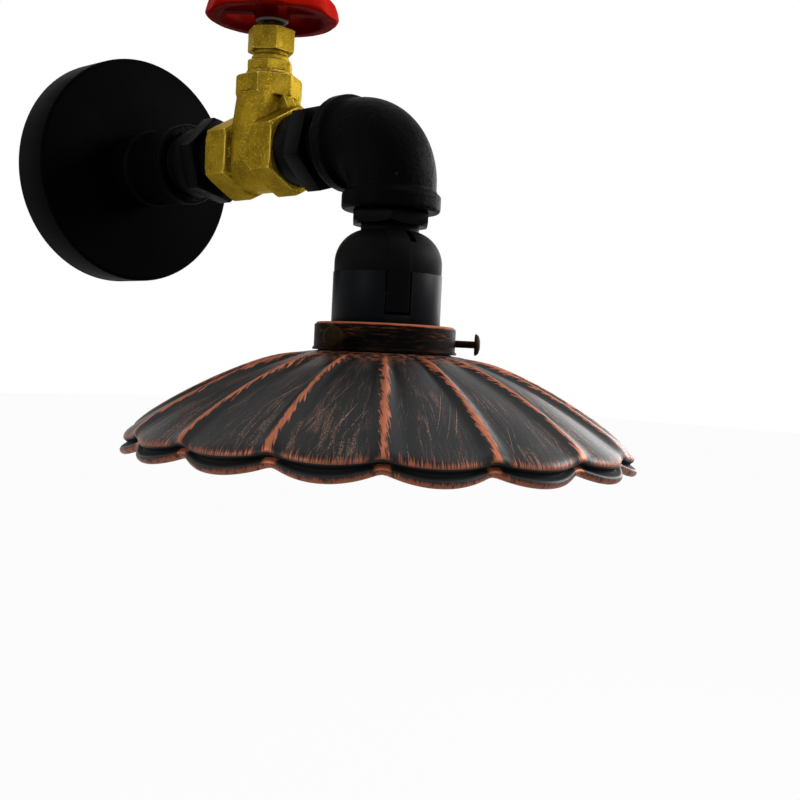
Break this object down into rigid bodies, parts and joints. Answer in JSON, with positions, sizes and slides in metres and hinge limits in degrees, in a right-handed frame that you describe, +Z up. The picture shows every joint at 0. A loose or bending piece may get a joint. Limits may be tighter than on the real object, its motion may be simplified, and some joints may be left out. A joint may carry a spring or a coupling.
{
  "type": "wall lamp",
  "caption": "Wall lamp of pipe fittings: round wall plate, arm with a brass gate valve and red handwheel, elbow, screw lampholder, and a fluted metal shade held by thumbscrews.",
  "frame": {"origin": "centre of the wall plate's back, in the plane of the wall", "axes": "+Z up, +Y into the wall, and the arm runs along -Y away from the wall"},
  "size_m": [0.1838, 0.272, 0.1849],
  "materials": {
    "plate_paint": "satin black paint",
    "pipe_paint": "black paint on cast iron",
    "zinc_steel": "zinc plated",
    "black_screw": "blackened",
    "tinned_brass": "tinned",
    "block_nylon": "moulded",
    "bright_brass": "bright",
    "valve_brass": "cast and turned",
    "fibre": "pressed fibre",
    "packing": "graphited cord",
    "wheel_paint": "gloss red paint",
    "holder_plastic": "moulded matt black",
    "ceramic": "glazed",
    "shell_brass": "rolled",
    "gallery_bronze": "brushed dark bronze",
    "dark_brass": "darkened",
    "shade_bronze": "antique black with rubbed copper",
    "brown_sleeve": "sleeve",
    "blue_sleeve": "sleeve",
    "green_sleeve": "green and yellow sleeve"
  },
  "bodies": {
    "lamp_body": {"canopy_cup": "plate_paint", "wall_bracket": "zinc_steel", "canopy_side_screws": "black_screw", "canopy_stud": "zinc_steel", "canopy_lock_washer": "zinc_steel", "earth_tag": "tinned_brass", "canopy_lock_nut": "zinc_steel", "terminal_block": "block_nylon", "terminal_clamps": "bright_brass", "terminal_clamp_screws": "zinc_steel", "terminal_block_screw": "zinc_steel", "bracket_earth_screw": "bright_brass", "pipe_socket": "pipe_paint", "socket_plug": "pipe_paint", "wall_nipple": "pipe_paint", "wall_lock_ring": "pipe_paint", "valve_body": "valve_brass", "bonnet_gasket": "fibre", "valve_bonnet": "valve_brass", "gland_packing": "packing", "gland_follower": "valve_brass", "gland_nut": "valve_brass", "lamp_nipple": "pipe_paint", "lamp_lock_ring": "pipe_paint", "pipe_elbow": "pipe_paint", "hex_bushing": "pipe_paint", "lamp_tube": "zinc_steel", "lampholder_cap": "holder_plastic", "cap_grub_screw": "zinc_steel", "lampholder_skirt": "holder_plastic", "lampholder_insert": "ceramic", "terminal_posts": "bright_brass", "terminal_post_screws": "zinc_steel", "screw_shell": "shell_brass", "centre_contact_pin": "zinc_steel", "clamp_ring": "holder_plastic", "gallery": "gallery_bronze", "shade": "shade_bronze", "live_wire": "brown_sleeve", "neutral_wire": "blue_sleeve", "earth_wire": "green_sleeve", "bracket_earth_wire": "green_sleeve"},
    "handwheel_body": {"valve_stem": "valve_brass", "handwheel": "wheel_paint", "wheel_washer": "zinc_steel", "wheel_nut": "zinc_steel"},
    "thumbscrew_1_body": {"thumbscrew_1": "dark_brass"},
    "thumbscrew_2_body": {"thumbscrew_2": "dark_brass"},
    "thumbscrew_3_body": {"thumbscrew_3": "dark_brass"},
    "contact_body": {"centre_contact": "shell_brass"}
  },
  "joints": [
    {"name": "handwheel_turn", "type": "hinge", "parent": "lamp_body", "child": "handwheel_body", "pos_m": [0, -0.108, 0.058], "axis": [0, 0, 1], "continuous": true},
    {"name": "thumbscrew_1_back_off", "type": "slide", "parent": "lamp_body", "child": "thumbscrew_1_body", "axis": [-0.9781, -0.2079, 0], "range_m": [0, 0.0012]},
    {"name": "thumbscrew_2_back_off", "type": "slide", "parent": "lamp_body", "child": "thumbscrew_2_body", "axis": [0.6691, -0.7431, 0], "range_m": [0, 0.0012]},
    {"name": "thumbscrew_3_back_off", "type": "slide", "parent": "lamp_body", "child": "thumbscrew_3_body", "axis": [0.309, 0.9511, 0], "range_m": [0, 0.0012]},
    {"name": "contact_flex", "type": "hinge", "parent": "lamp_body", "child": "contact_body", "pos_m": [0.0085, -0.18, -0.0657], "axis": [0, 1, 0], "range_deg": [0, 6], "stiffness_Nm_per_rad": 0.3}
  ]
}
